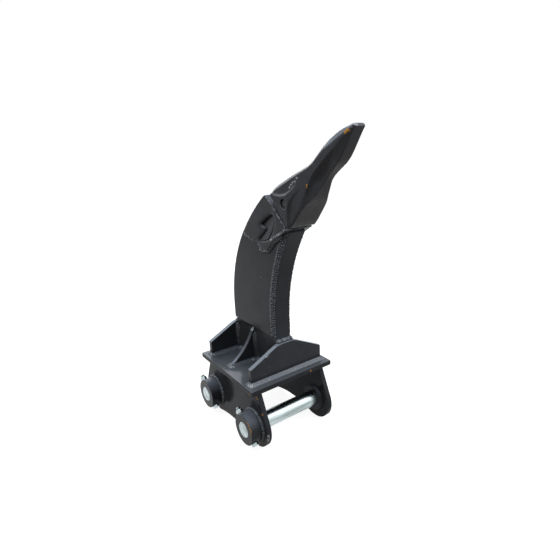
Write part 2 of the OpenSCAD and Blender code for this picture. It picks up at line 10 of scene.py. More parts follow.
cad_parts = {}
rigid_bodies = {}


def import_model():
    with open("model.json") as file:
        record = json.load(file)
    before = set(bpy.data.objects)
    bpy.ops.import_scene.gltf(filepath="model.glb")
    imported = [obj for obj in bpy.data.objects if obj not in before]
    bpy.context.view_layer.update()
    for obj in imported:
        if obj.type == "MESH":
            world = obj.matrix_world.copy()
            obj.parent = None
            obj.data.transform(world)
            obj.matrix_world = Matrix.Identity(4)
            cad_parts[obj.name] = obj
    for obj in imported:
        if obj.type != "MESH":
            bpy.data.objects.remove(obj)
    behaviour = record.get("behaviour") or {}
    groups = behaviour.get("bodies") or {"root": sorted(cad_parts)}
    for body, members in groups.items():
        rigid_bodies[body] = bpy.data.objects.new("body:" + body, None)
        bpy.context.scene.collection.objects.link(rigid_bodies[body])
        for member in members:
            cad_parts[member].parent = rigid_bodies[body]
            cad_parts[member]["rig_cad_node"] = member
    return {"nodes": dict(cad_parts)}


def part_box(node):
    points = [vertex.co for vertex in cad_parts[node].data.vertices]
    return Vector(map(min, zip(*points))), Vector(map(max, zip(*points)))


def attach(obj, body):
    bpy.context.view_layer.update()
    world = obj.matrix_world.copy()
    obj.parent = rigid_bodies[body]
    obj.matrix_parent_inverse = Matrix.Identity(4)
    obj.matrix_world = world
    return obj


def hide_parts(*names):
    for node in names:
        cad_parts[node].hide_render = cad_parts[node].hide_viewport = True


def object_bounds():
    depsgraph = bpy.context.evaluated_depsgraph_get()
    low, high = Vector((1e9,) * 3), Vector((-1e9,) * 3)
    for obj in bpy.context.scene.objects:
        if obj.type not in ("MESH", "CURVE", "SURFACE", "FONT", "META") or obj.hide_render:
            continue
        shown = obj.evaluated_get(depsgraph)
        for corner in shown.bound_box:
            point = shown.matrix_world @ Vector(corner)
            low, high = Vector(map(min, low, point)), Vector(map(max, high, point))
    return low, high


bl_info = {
    "name": "Excavator Ripper",
    "version": (1, 0, 0),
    "blender": (4, 5, 0),
    "location": "3D View > Sidebar > Ripper",
    "description": "Finishes a pin-on excavator ripper with rounded edges, weld beads and enamel",
    "category": "Object",
}

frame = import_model()
cad_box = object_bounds()

# The tooth leans this far above the horizontal, and its pin sits this far from the rim and off the axis
TOOTH_SLOPE = math.radians(42)
TOOTH_PIN_FROM_RIM = 0.029
TOOTH_PIN_OFF_AXIS = -0.001

# Shank: where it starts to bend above the base plate, and the radius of its front edge
BEND_HEIGHT = 0.160
FRONT_RADIUS = 0.485

# Edges sharper than the first angle are rounded, and faces within the second are shaded as one
SHARP_ANGLE = math.radians(28)
SMOOTH_ANGLE = math.radians(38)

# A face of the base plate is its top when its normal climbs this far
TOP_FACE = 0.5

# Cross bolts: slope down to the front, radius, and thread pitch
BOLT_SLOPE = math.radians(40)
BOLT_RADIUS = 0.006
THREAD_PITCH = 0.00175

# The thread's root is the bolt's radius and a share of its crest; its end is a share of the radius
ROOT_OVER_CREST = 0.88
THREAD_END = 0.8

# Corners this near the tail end of a bolt belong to that end
BOLT_END = 0.0005

# Weld ripples: thickness over width, range of sizes, lean in radians and drift as a share of the spacing
RIPPLE_FLATNESS = 0.62
RIPPLE_SIZES = (0.88, 1.08)
RIPPLE_LEAN = 0.16
RIPPLE_DRIFT = 0.35

# Radius of the beads as a share of the fillet bead's radius
GUSSET_FOOT_BEAD = 0.92
GUSSET_TOP_BEAD = 1.45
SIDE_GUSSET_BEAD = 0.85
EAR_BEAD = 0.9
ADAPTER_BEAD = 1.1

# Passes of the broad weld down each cheek: inset from the front, lift off the core and size as a share
CHEEK_PASSES = ((0.0045, 0.0004, 0.55), (0.0095, 0.0022, 0.62), (0.015, 0.004, 0.68))

# Steps of those passes round the shank's bend, and how far below the weld's top they end
CHEEK_STEPS = 24
CHEEK_STOP = 0.016

# Corners of the adapter's leg, in millimetres from the tooth's rim along the tooth and to its rear
LEG_CORNERS = ((-198, 70), (-171, 26), (-154, 12), (-158, -18), (-128, -38), (-87, -36), (-53, -44))

# Hollow in the leg, in metres from the tooth's rim along the tooth, to its rear and out from its middle
HOLLOW_ALONG = (-0.158, -0.028)
HOLLOW_BACK = (-0.03, 0.046)
HOLLOW_OUT = 0.022
HOLLOW_PASSES = 90

# Chips down to the primer, as x, y, z and size in millimetres: collar rims, left ear, base plate, tooth
RIM_CHIPS = (
    (22, -163, 38, 2.4), (28, -163, 37, 2.6), (33, -163, 33, 2.8), (37, -163, 28, 2.8),
    (41, -163, 24, 3.2), (43, -163, 18, 3.4), (45, -163, 11, 2.6), (34, -163, -21, 2.5),
    (-245, -163, 43, 4.0))
EAR_CHIPS = ((-281, -123, 83, 4.5), (21, -123, 100, 6.0), (46, -123, 59, 4.5), (27, -123, -59, 4.5))
BASE_CHIPS = ((17, -147, 120, 4.0), (23, -147, 120, 4.5), (38, 65, 128, 4.0))
PLATE_CHIPS = RIM_CHIPS + EAR_CHIPS + BASE_CHIPS
CAST_CHIPS = (
    (279, -21, 808, 5.5), (275, -22, 804, 4.5), (283, -19, 807, 3.5), (163, -34, 696, 3.2),
    (162, -34, 691, 2.6))

# Rubbed lines, as two ends and a half width in millimetres: left ear's front edge, front gusset's top
PLATE_SCUFFS = (((66, -121, -26), (69, -121, -2), 6.0), ((8, -84, 208), (8, -66, 211), 2.5))

# Rubbed to steel along the adapter's rim and leg edge and the tooth's boss; the line at the tip's corner is
# a painted highlight
CAST_SCUFFS_AND_GLINT = (
    ((2, -42, 664), (84, -42, 588), 3.0), ((84, -42, 586), (11, -42, 548), 4.5),
    ((104, -40, 690), (130, -37, 712), 5.0), ((288, -19, 816), (296, -5, 821), 6.0))

# Band of painted sheen along the blade's rear edge, near the tip, and how much of it shows
TIP_SHEEN_BAND = (((218, -29, 780), (292, -14, 822), 8.0),)
TIP_SHEEN_SHARE = 0.8

# Painted glints, as steel-coloured lines: on the welds at the end of the adapter's leg, then at the ends of
# the beads at the gussets
LEG_WELD_GLINTS = (
    ((-126, -37, 546), (-92, -37, 526), 9.0), ((-70, -37, 520), (-36, -37, 505), 8.0),
    ((-36, -37, 505), (-6, -39, 517), 6.0))
BEAD_END_GLINTS = (
    ((-126, -121, 136), (-118, -112, 139), 5.0), ((-126, -46, 137), (-118, -38, 140), 5.0),
    ((2, -138, 138), (14, -130, 140), 6.0), ((-240, -131, 140), (-232, -123, 143), 5.0),
    ((-132, -36, 233), (-124, -31, 238), 5.0))
WELD_GLINTS = LEG_WELD_GLINTS + BEAD_END_GLINTS

# Thin and thick places of a coat, and oily and clean places of steel, as shares of the colour
PLATE_SHADES = (0.82, 1.15)
CAST_SHADES = (1.4, 1.85)
STEEL_SHADES = (0.04, 0.1)

# Plate coats: how much of the coat pale dust and painted sky sheen hide on what faces up, how strongly it
# mirrors and its lowest roughness
PLATE_COATS = {
    "plate_enamel": (0.46, 0.07, 0.12),
    "side_enamel": (0.46, 0.04, 0.12),
    "gusset_enamel": (0.8, 0.11, 0.12),
    "base_enamel": (0.26, 0.16, 0.07),
}

# Roughness of the plating on the pins and on the bolts
ZINC_COATS = {"pin_zinc": 0.27, "bolt_zinc": 0.26}

# Lamps: place and size in metres, power in watts
LAMPS = {
    "rear_softbox": ((-2.2, 0.3, 2.1), 3.0, 64),
    "front_softbox": ((0.9, 1.6, 2.7), 2.4, 36),
    "front_fill": ((2.1, 1.6, 1.3), 2.4, 17),
    "glint_lamp": ((-0.36, -1.65, 2.5), 0.5, 15),
}
LAMP_AIM = (0, 0, 0.3)
FLOOR_SIZE = 30
FLOOR_SHADE = (0.4, 0.4, 0.4, 1.0)

# Camera fitted to the photograph: its place in metres, its axes, and its lens and sensor in millimetres
CAMERA_PLACE = (0.9185, -0.6465, 0.7715)
CAMERA_RIGHT = (0.5818, 0.8121, -0.0449)
CAMERA_UP = (-0.2150, 0.2068, 0.9544)
CAMERA_FORWARD = (-0.7844, 0.5456, -0.2949)
CAMERA_LENS = 26.61
CAMERA_SENSOR = 36


def linear(code):
    """Linear colour of an sRGB hex value."""
    parts = [int(code[i:i + 2], 16) / 255 for i in (1, 3, 5)]
    return tuple(p / 12.92 if p <= 0.04045 else ((p + 0.055) / 1.055) ** 2.4 for p in parts)


def rgba(colour):
    """Colour with full cover."""
    return (*colour[:3], 1.0)


class RipperSizes(bpy.types.PropertyGroup):
    """Sizes of the finishing work."""

    plate_edge: bpy.props.FloatProperty(
        name="Plate edge", description="Rounding of the cut plates' edges", default=0.0012, unit="LENGTH")
    cast_skin: bpy.props.FloatProperty(
        name="Cast skin", description="Grid size of the castings' soft skin", default=0.0015, unit="LENGTH")
    turned_edge: bpy.props.FloatProperty(
        name="Turned edge", description="Rounding of turned and bought pieces", default=0.0007,
        unit="LENGTH")
    bead: bpy.props.FloatProperty(
        name="Bead", description="Radius of the fillet weld beads", default=0.0072, unit="LENGTH")
    ripple: bpy.props.FloatProperty(
        name="Ripple", description="Spacing of the ripples along a weld", default=0.0052, unit="LENGTH")


class RipperColours(bpy.types.PropertyGroup):
    """Colours of the finishes."""

    enamel: bpy.props.FloatVectorProperty(
        name="Enamel", description="Dark grey top coat", subtype="COLOR", default=linear("#3d3e41"))
    weld: bpy.props.FloatVectorProperty(
        name="Weld coat", description="Second shade on the welds", subtype="COLOR",
        default=linear("#3a3c40"))
    primer: bpy.props.FloatVectorProperty(
        name="Primer", description="Orange coat that shows in the chips", subtype="COLOR",
        default=linear("#e0a24a"))
    zinc: bpy.props.FloatVectorProperty(
        name="Zinc", description="Bright plating on pins and bolts", subtype="COLOR",
        default=linear("#bcc8cc"))
    zinc_cloud: bpy.props.FloatVectorProperty(
        name="Zinc cloud", description="Greyer patches in the plating", subtype="COLOR",
        default=linear("#8f9a98"))
    steel: bpy.props.FloatVectorProperty(
        name="Steel", description="Bare steel on scuffed edges", subtype="COLOR", default=linear("#c2c8ce"))
    # Pale dust on what faces up; the same pale colour also stands in for a painted sky sheen on the upward
    # faces
    dust: bpy.props.FloatVectorProperty(
        name="Dust", description="Pale film on what faces up", subtype="COLOR", default=linear("#8d96a3"))
    sheen: bpy.props.FloatVectorProperty(
        name="Sheen", description="Tint of what the plates mirror", subtype="COLOR",
        default=linear("#e2ecff"))
    floor: bpy.props.FloatVectorProperty(
        name="Floor", description="Pale studio floor", subtype="COLOR", default=linear("#ffffff"))
    ground: bpy.props.FloatVectorProperty(
        name="Ground", description="Light that the floor throws back up", subtype="COLOR",
        default=linear("#5f584f"))
    sky: bpy.props.FloatVectorProperty(
        name="Sky", description="Cool light from above", subtype="COLOR", default=linear("#f2f8ff"))


# Selecting and copying

def only(piece):
    """Makes one object the whole selection."""
    bpy.ops.object.select_all(action="DESELECT")
    piece.select_set(True)
    bpy.context.view_layer.objects.active = piece


def node_copy(node, name):
    """Copy of a CAD node with its loose triangles merged into flat faces."""
    only(frame["nodes"][node])
    bpy.ops.object.duplicate()
    piece = bpy.context.object
    piece.name = name
    piece.parent = None
    del piece["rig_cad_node"]
    bpy.ops.mesh.customdata_custom_splitnormals_clear()
    bpy.ops.object.mode_set(mode="EDIT")
    bpy.ops.mesh.select_all(action="SELECT")
    bpy.ops.mesh.remove_doubles(threshold=0.00001)
    bpy.ops.mesh.dissolve_limited(angle_limit=math.radians(0.5))
    bpy.ops.object.mode_set(mode="OBJECT")
    return piece


def apply_modifier(piece, kind, **settings):
    """Adds one modifier to the piece and applies it."""
    only(piece)
    bpy.ops.object.modifier_add(type=kind)
    modifier = piece.modifiers[-1]
    for key, value in settings.items():
        setattr(modifier, key, value)
    bpy.ops.object.modifier_apply(modifier=modifier.name)


def round_edges(piece, width):
    """Rounds the piece's sharp edges, with smooth shading over the rounding."""
    apply_modifier(
        piece, "BEVEL", width=width, segments=2, limit_method="ANGLE", angle_limit=SHARP_ANGLE,
        miter_outer="MITER_ARC", use_clamp_overlap=True)
    only(piece)
    bpy.ops.object.shade_smooth_by_angle(angle=SMOOTH_ANGLE)
    apply_modifier(piece, "WEIGHTED_NORMAL", keep_sharp=True, weight=80)


def dress(piece, coats, slot, *nodes):
    """Gives the piece its coats and puts it in the place of its CAD nodes."""
    slots = [face.material_index for face in piece.data.polygons]
    piece.data.materials.clear()
    for material in coats:
        piece.data.materials.append(material)
    piece.data.polygons.foreach_set("material_index", slots)
    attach(piece, "root")
    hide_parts(*nodes)


def joined(copies, name):
    """Joins copies into one piece that sits at the origin."""
    bpy.ops.object.select_all(action="DESELECT")
    for copy in copies:
        copy.select_set(True)
    bpy.context.view_layer.objects.active = copies[0]
    bpy.ops.object.join()
    bpy.ops.object.transform_apply(location=True, rotation=True, scale=True)
    piece = bpy.context.object
    piece.name = name
    return piece


# Materials

def add_node(tree, kind, settings=None, inputs=None):
    """Adds a shader node; an input is a value, or the output socket to link it to."""
    made = tree.nodes.new(kind)
    for key, value in (settings or {}).items():
        setattr(made, key, value)
    for key, value in (inputs or {}).items():
        if isinstance(value, bpy.types.NodeSocket):
            tree.links.new(value, made.inputs[key])
        else:
            made.inputs[key].default_value = value
    return made


def new_material(name):
    """Empty node material, its tree and its Object coordinates."""
    material = bpy.data.materials.new(name)
    material.use_nodes = True
    tree = material.node_tree
    tree.nodes.clear()
    place = add_node(tree, "ShaderNodeTexCoord").outputs["Object"]
    return material, tree, place


def shaded(colour, share):
    """Colour made darker or lighter by a share."""
    return rgba([part * share for part in colour])


def per_metre(millimetres):
    """Scale of a pattern whose features are this size."""
    return 1000 / millimetres


def facing_up(tree, low, high, least, most):
    """Goes from least to most as the surface's normal climbs from low to high."""
    surface = add_node(tree, "ShaderNodeNewGeometry")
    normal = add_node(tree, "ShaderNodeSeparateXYZ", {}, {"Vector": surface.outputs["Normal"]})
    share = add_node(tree, "ShaderNodeMapRange", {}, {
        "Value": normal.outputs["Z"], "From Min": low, "From Max": high, "To Min": least, "To Max": most})
    return share.outputs["Result"]


def directly_seen(tree):
    """1 for camera, mirror and transmission rays, and 0 for the light that falls on the part."""
    path = add_node(tree, "ShaderNodeLightPath")
    mirrored = add_node(tree, "ShaderNodeMath", {"operation": "MAXIMUM"}, {
        0: path.outputs["Is Glossy Ray"], 1: path.outputs["Is Transmission Ray"]})
    seen = add_node(tree, "ShaderNodeMath", {"operation": "MAXIMUM"}, {
        0: path.outputs["Is Camera Ray"], 1: mirrored.outputs[0]})
    return seen.outputs[0]


def chip_mask(tree, place, chips):
    """1 inside the paint chips, with ragged edges."""
    ragged = add_node(tree, "ShaderNodeTexNoise", {}, {
        "Vector": place, "Scale": per_metre(4), "Detail": 3.0})
    nearest = None
    for x, y, z, size in chips:
        away = add_node(tree, "ShaderNodeVectorMath", {"operation": "DISTANCE"}, {
            0: place, 1: Vector((x, y, z)) / 1000})
        grown = add_node(tree, "ShaderNodeMath", {"operation": "MULTIPLY_ADD"}, {
            0: away.outputs["Value"], 1: per_metre(size), 2: ragged.outputs["Fac"]}).outputs[0]
        if nearest is not None:
            grown = add_node(tree, "ShaderNodeMath", {"operation": "MINIMUM"}, {
                0: nearest, 1: grown}).outputs[0]
        nearest = grown
    inside = add_node(tree, "ShaderNodeMapRange", {}, {
        "Value": nearest, "From Min": 1.15, "From Max": 1.25, "To Min": 1.0, "To Max": 0.0})
    return inside.outputs["Result"]


def line_mask(tree, place, lines):
    """1 along the listed lines, fading to 0 at their half width: rubbed lines, painted glints and the
    painted sheen band.
    """
    total = None
    for start, end, half in lines:
        first = Vector(start) / 1000
        run = Vector(end) / 1000 - first
        out = add_node(tree, "ShaderNodeVectorMath", {"operation": "SUBTRACT"}, {0: place, 1: first})
        along = add_node(tree, "ShaderNodeVectorMath", {"operation": "DOT_PRODUCT"}, {
            0: out.outputs["Vector"], 1: run / run.length_squared})
        share = add_node(tree, "ShaderNodeClamp", {}, {"Value": along.outputs["Value"]})
        foot = add_node(tree, "ShaderNodeVectorMath", {"operation": "SCALE"}, {
            0: run, "Scale": share.outputs["Result"]})
        away = add_node(tree, "ShaderNodeVectorMath", {"operation": "DISTANCE"}, {
            0: out.outputs["Vector"], 1: foot.outputs["Vector"]})
        line = add_node(tree, "ShaderNodeMapRange", {}, {
            "Value": away.outputs["Value"], "From Min": half / 2000, "From Max": half / 1000,
            "To Min": 1.0, "To Max": 0.0}).outputs["Result"]
        if total is not None:
            line = add_node(tree, "ShaderNodeMath", {"operation": "MAXIMUM"}, {
                0: total, 1: line}).outputs[0]
        total = line
    return total


def plate_enamel(name, colours, dust, level, smooth):
    """Sprayed alkyd enamel on rolled steel plate.

    The eye sees a dark, wet-looking coat that mirrors what stands on it, with a faint slow wave
    from the spray, pale dust and a painted sky sheen on what faces up and orange primer in the chips.
    dust is how much of the coat that pale film hides, level is how strongly it mirrors and
    smooth is its lowest roughness.
    """
    material, tree, place = new_material(name)
    spray = add_node(tree, "ShaderNodeTexNoise", {}, {
        "Vector": place, "Scale": per_metre(70), "Detail": 4.0})
    cover = add_node(tree, "ShaderNodeMapRange", {}, {
        "Value": spray.outputs["Fac"], "From Min": 0.3, "From Max": 0.7})
    shade = add_node(tree, "ShaderNodeMix", {"data_type": "RGBA"}, {
        "Factor": cover.outputs["Result"], "A": shaded(colours.enamel, PLATE_SHADES[0]),
        "B": shaded(colours.enamel, PLATE_SHADES[1])})
    # Dust and a painted sky sheen lighten what faces up
    dusty = add_node(tree, "ShaderNodeMix", {"data_type": "RGBA"}, {
        "Factor": facing_up(tree, 0.4, 0.9, 0.0, dust), "A": shade.outputs["Result"],
        "B": rgba(colours.dust)})
    haze = add_node(tree, "ShaderNodeTexNoise", {}, {
        "Vector": place, "Scale": per_metre(30), "Detail": 5.0})
    gloss = add_node(tree, "ShaderNodeMapRange", {}, {
        "Value": haze.outputs["Fac"], "From Min": 0.3, "From Max": 0.7,
        "To Min": smooth, "To Max": smooth + 0.1})
    scuff = add_node(tree, "ShaderNodeTexNoise", {}, {
        "Vector": place, "Scale": per_metre(7), "Detail": 5.0})
    worn = add_node(tree, "ShaderNodeMapRange", {}, {
        "Value": scuff.outputs["Fac"], "From Min": 0.72, "From Max": 0.79})
    patchy = add_node(tree, "ShaderNodeMapRange", {}, {
        "Value": scuff.outputs["Fac"], "From Min": 0.42, "From Max": 0.6})
    knocked = add_node(tree, "ShaderNodeMath", {"operation": "MULTIPLY"}, {
        0: line_mask(tree, place, PLATE_SCUFFS), 1: patchy.outputs["Result"]})
    bare = add_node(tree, "ShaderNodeMath", {"operation": "MAXIMUM"}, {
        0: worn.outputs["Result"], 1: knocked.outputs[0]})
    scraped = add_node(tree, "ShaderNodeMix", {"data_type": "RGBA"}, {
        "Factor": bare.outputs[0], "A": dusty.outputs["Result"], "B": rgba(colours.steel)})
    chips = chip_mask(tree, place, PLATE_CHIPS)
    chipped = add_node(tree, "ShaderNodeMix", {"data_type": "RGBA"}, {
        "Factor": chips, "A": scraped.outputs["Result"], "B": rgba(colours.primer)})
    dulled = add_node(tree, "ShaderNodeMath", {"operation": "MULTIPLY_ADD"}, {
        0: chips, 1: 0.5, 2: gloss.outputs["Result"]})
    wave = add_node(tree, "ShaderNodeTexNoise", {}, {
        "Vector": place, "Scale": per_metre(22), "Detail": 2.0})
    bump = add_node(tree, "ShaderNodeBump", {}, {
        "Height": wave.outputs["Fac"], "Strength": 0.35, "Distance": 0.0004})
    shader = add_node(tree, "ShaderNodeBsdfPrincipled", {}, {
        "Base Color": chipped.outputs["Result"], "Roughness": dulled.outputs[0], "IOR": 1.5,
        "Specular IOR Level": level, "Specular Tint": rgba(colours.sheen),
        "Normal": bump.outputs["Normal"]})
    add_node(tree, "ShaderNodeOutputMaterial", {}, {"Surface": shader.outputs["BSDF"]})
    return material


def cast_enamel(name, colours):
    """Sprayed enamel on sand-cast alloy steel.

    The eye sees a dark coat over the mould's pebbled grain, pale on top with dust and a painted sky sheen,
    rubbed to dull steel in dots and dashes along the edges that stand proud and face up, with a painted
    highlight at the tip's corner, a band of painted sheen near the tip and primer in the chips.
    """
    material, tree, place = new_material(name)
    spray = add_node(tree, "ShaderNodeTexNoise", {}, {
        "Vector": place, "Scale": per_metre(45), "Detail": 4.0})
    cover = add_node(tree, "ShaderNodeMapRange", {}, {
        "Value": spray.outputs["Fac"], "From Min": 0.3, "From Max": 0.7})
    shade = add_node(tree, "ShaderNodeMix", {"data_type": "RGBA"}, {
        "Factor": cover.outputs["Result"], "A": shaded(colours.enamel, CAST_SHADES[0]),
        "B": shaded(colours.enamel, CAST_SHADES[1])})
    # Dust and a painted sky sheen lighten what faces up
    dusty = add_node(tree, "ShaderNodeMix", {"data_type": "RGBA"}, {
        "Factor": facing_up(tree, 0.55, 0.85, 0.0, 0.38), "A": shade.outputs["Result"],
        "B": rgba(colours.dust)})
    surface = add_node(tree, "ShaderNodeNewGeometry")
    proud = add_node(tree, "ShaderNodeMapRange", {}, {
        "Value": surface.outputs["Pointiness"], "From Min": 0.515, "From Max": 0.55})
    dots = add_node(tree, "ShaderNodeTexNoise", {}, {
        "Vector": place, "Scale": per_metre(5), "Detail": 5.0})
    patchy = add_node(tree, "ShaderNodeMapRange", {}, {
        "Value": dots.outputs["Fac"], "From Min": 0.46, "From Max": 0.57})
    edge = add_node(tree, "ShaderNodeMath", {"operation": "MULTIPLY"}, {
        0: proud.outputs["Result"], 1: facing_up(tree, -0.3, 0.6, 0.1, 1.0)})
    rubbed = add_node(tree, "ShaderNodeMath", {"operation": "MULTIPLY"}, {
        0: edge.outputs[0], 1: patchy.outputs["Result"]})
    # Rubbed lines, and the tip corner's painted highlight, broken into dots
    dotted = add_node(tree, "ShaderNodeMath", {"operation": "MULTIPLY"}, {
        0: line_mask(tree, place, CAST_SCUFFS_AND_GLINT), 1: patchy.outputs["Result"]})
    # Painted sheen: the band near the tip is lightened towards the pale dust colour
    painted_sheen = add_node(tree, "ShaderNodeMath", {"operation": "MULTIPLY"}, {
        0: line_mask(tree, place, TIP_SHEEN_BAND), 1: TIP_SHEEN_SHARE})
    sheen_banded = add_node(tree, "ShaderNodeMix", {"data_type": "RGBA"}, {
        "Factor": painted_sheen.outputs[0], "A": dusty.outputs["Result"], "B": rgba(colours.dust)})
    bare = add_node(tree, "ShaderNodeMath", {"operation": "MAXIMUM"}, {
        0: rubbed.outputs[0], 1: dotted.outputs[0]})
    scraped = add_node(tree, "ShaderNodeMix", {"data_type": "RGBA"}, {
        "Factor": bare.outputs[0], "A": sheen_banded.outputs["Result"], "B": rgba(colours.steel)})
    chipped = add_node(tree, "ShaderNodeMix", {"data_type": "RGBA"}, {
        "Factor": chip_mask(tree, place, CAST_CHIPS), "A": scraped.outputs["Result"],
        "B": rgba(colours.primer)})
    haze = add_node(tree, "ShaderNodeTexNoise", {}, {
        "Vector": place, "Scale": per_metre(18), "Detail": 5.0})
    gloss = add_node(tree, "ShaderNodeMapRange", {}, {
        "Value": haze.outputs["Fac"], "From Min": 0.3, "From Max": 0.7, "To Min": 0.2, "To Max": 0.36})
    grain = add_node(tree, "ShaderNodeTexNoise", {}, {
        "Vector": place, "Scale": per_metre(5), "Detail": 3.0})
    bump = add_node(tree, "ShaderNodeBump", {}, {
        "Height": grain.outputs["Fac"], "Strength": 0.4, "Distance": 0.0009})
    shader = add_node(tree, "ShaderNodeBsdfPrincipled", {}, {
        "Base Color": chipped.outputs["Result"], "Roughness": gloss.outputs["Result"], "IOR": 1.5,
        "Specular IOR Level": 0.05, "Normal": bump.outputs["Normal"]})
    add_node(tree, "ShaderNodeOutputMaterial", {}, {"Surface": shader.outputs["BSDF"]})
    return material


def weld_enamel(name, colours):
    """Enamel sprayed over arc-welded beads.

    The eye sees an uneven coat that glints on each ripple, pale on top with dust and a painted sky sheen,
    and flecked with steel-coloured spots that are partly spatter and partly painted glints.
    """
    material, tree, place = new_material(name)
    spray = add_node(tree, "ShaderNodeTexNoise", {}, {
        "Vector": place, "Scale": per_metre(12), "Detail": 5.0})
    cover = add_node(tree, "ShaderNodeMapRange", {}, {
        "Value": spray.outputs["Fac"], "From Min": 0.35, "From Max": 0.65})
    shade = add_node(tree, "ShaderNodeMix", {"data_type": "RGBA"}, {
        "Factor": cover.outputs["Result"], "A": rgba(colours.enamel), "B": rgba(colours.weld)})
    # Dust and a painted sky sheen lighten what faces up
    dusty = add_node(tree, "ShaderNodeMix", {"data_type": "RGBA"}, {
        "Factor": facing_up(tree, 0.15, 0.75, 0.0, 0.6), "A": shade.outputs["Result"],
        "B": rgba(colours.dust)})
    # Steel-coloured flecks, partly weld spatter and partly painted glints
    spatter_glints = add_node(tree, "ShaderNodeTexNoise", {}, {
        "Vector": place, "Scale": per_metre(4), "Detail": 4.0})
    bright = add_node(tree, "ShaderNodeMapRange", {}, {
        "Value": spatter_glints.outputs["Fac"], "From Min": 0.64, "From Max": 0.7})
    dots = add_node(tree, "ShaderNodeMapRange", {}, {
        "Value": spatter_glints.outputs["Fac"], "From Min": 0.44, "From Max": 0.54})
    # Painted glints along the listed lines, broken into dots
    dotted = add_node(tree, "ShaderNodeMath", {"operation": "MULTIPLY"}, {
        0: line_mask(tree, place, WELD_GLINTS), 1: dots.outputs["Result"]})
    flecks = add_node(tree, "ShaderNodeMath", {"operation": "MAXIMUM"}, {
        0: bright.outputs["Result"], 1: dotted.outputs[0]})
    glints = add_node(tree, "ShaderNodeMix", {"data_type": "RGBA"}, {
        "Factor": flecks.outputs[0], "A": dusty.outputs["Result"], "B": rgba(colours.steel)})
    grain = add_node(tree, "ShaderNodeTexNoise", {}, {
        "Vector": place, "Scale": per_metre(3), "Detail": 3.0})
    bump = add_node(tree, "ShaderNodeBump", {}, {
        "Height": grain.outputs["Fac"], "Strength": 0.35, "Distance": 0.0008})
    gloss = add_node(tree, "ShaderNodeMapRange", {}, {
        "Value": spray.outputs["Fac"], "From Min": 0.3, "From Max": 0.7, "To Min": 0.14, "To Max": 0.3})
    shader = add_node(tree, "ShaderNodeBsdfPrincipled", {}, {
        "Base Color": glints.outputs["Result"], "Roughness": gloss.outputs["Result"], "IOR": 1.5,
        "Specular IOR Level": 0.24, "Normal": bump.outputs["Normal"]})
    add_node(tree, "ShaderNodeOutputMaterial", {}, {"Surface": shader.outputs["BSDF"]})
    return material


def zinc_plating(name, colours, rough):
    """Bright zinc plating on ground steel.

    The eye sees a bluish mirror with a slight cloud, drawn out along the pins, so it takes broad bands
    from its surroundings.
    """
    material, tree, place = new_material(name)
    drawn = add_node(tree, "ShaderNodeMapping", {}, {"Vector": place, "Scale": (1.0, 0.1, 1.0)})
    cloud = add_node(tree, "ShaderNodeTexNoise", {}, {
        "Vector": drawn.outputs["Vector"], "Scale": per_metre(14), "Detail": 4.0})
    cover = add_node(tree, "ShaderNodeMapRange", {}, {
        "Value": cloud.outputs["Fac"], "From Min": 0.35, "From Max": 0.65})
    shade = add_node(tree, "ShaderNodeMix", {"data_type": "RGBA"}, {
        "Factor": cover.outputs["Result"], "A": rgba(colours.zinc), "B": rgba(colours.zinc_cloud)})
    smear = add_node(tree, "ShaderNodeTexNoise", {}, {
        "Vector": place, "Scale": per_metre(40), "Detail": 2.0})
    gloss = add_node(tree, "ShaderNodeMapRange", {}, {
        "Value": smear.outputs["Fac"], "From Min": 0.3, "From Max": 0.7,
        "To Min": rough * 0.9, "To Max": rough * 1.1})
    shader = add_node(tree, "ShaderNodeBsdfPrincipled", {}, {
        "Base Color": shade.outputs["Result"], "Roughness": gloss.outputs["Result"], "Metallic": 1.0})
    add_node(tree, "ShaderNodeOutputMaterial", {}, {"Surface": shader.outputs["BSDF"]})
    return material


def spring_steel(name, colours):
    """Plain drawn spring steel, blackened by oil: the eye sees a dull dark metal with darker patches."""
    material, tree, place = new_material(name)
    oil = add_node(tree, "ShaderNodeTexNoise", {}, {
        "Vector": place, "Scale": per_metre(6), "Detail": 4.0})
    shade = add_node(tree, "ShaderNodeMix", {"data_type": "RGBA"}, {
        "Factor": oil.outputs["Fac"], "A": shaded(colours.steel, STEEL_SHADES[0]),
        "B": shaded(colours.steel, STEEL_SHADES[1])})
    shader = add_node(tree, "ShaderNodeBsdfPrincipled", {}, {
        "Base Color": shade.outputs["Result"], "Roughness": 0.42, "Metallic": 1.0})
    add_node(tree, "ShaderNodeOutputMaterial", {}, {"Surface": shader.outputs["BSDF"]})
    return material


def finish(name):
    """A finish by name, made once."""
    found = bpy.data.materials.get(name)
    if found:
        return found
    colours = bpy.context.scene.ripper_colours
    if name in PLATE_COATS:
        return plate_enamel(name, colours, *PLATE_COATS[name])
    if name in ZINC_COATS:
        return zinc_plating(name, colours, ZINC_COATS[name])
    if name == "cast_enamel":
        return cast_enamel(name, colours)
    if name == "weld_enamel":
        return weld_enamel(name, colours)
    return spring_steel(name, colours)


# Weld beads

def ripple_shape():
    """One ripple of a weld bead: a flat round lens that faces along the bead."""
    bpy.ops.object.select_all(action="DESELECT")
    bpy.ops.mesh.primitive_uv_sphere_add(segments=12, ring_count=6, radius=1.0)
    ripple = bpy.context.object
    bpy.ops.object.mode_set(mode="EDIT")
    bpy.ops.mesh.select_all(action="SELECT")
    bpy.ops.transform.resize(value=(1.0, 1.0, RIPPLE_FLATNESS))
    bpy.ops.object.mode_set(mode="OBJECT")
    bpy.ops.object.shade_smooth()
    return ripple


def walk(points, pitch):
    """Places at about even pitch along a line of points, each with its direction."""
    for a, b in zip(points, points[1:]):
        way = b - a
        count = max(1, round(way.length / pitch))
        for i in range(count):
            yield a + way * ((i + 0.5) / count), way.normalized()


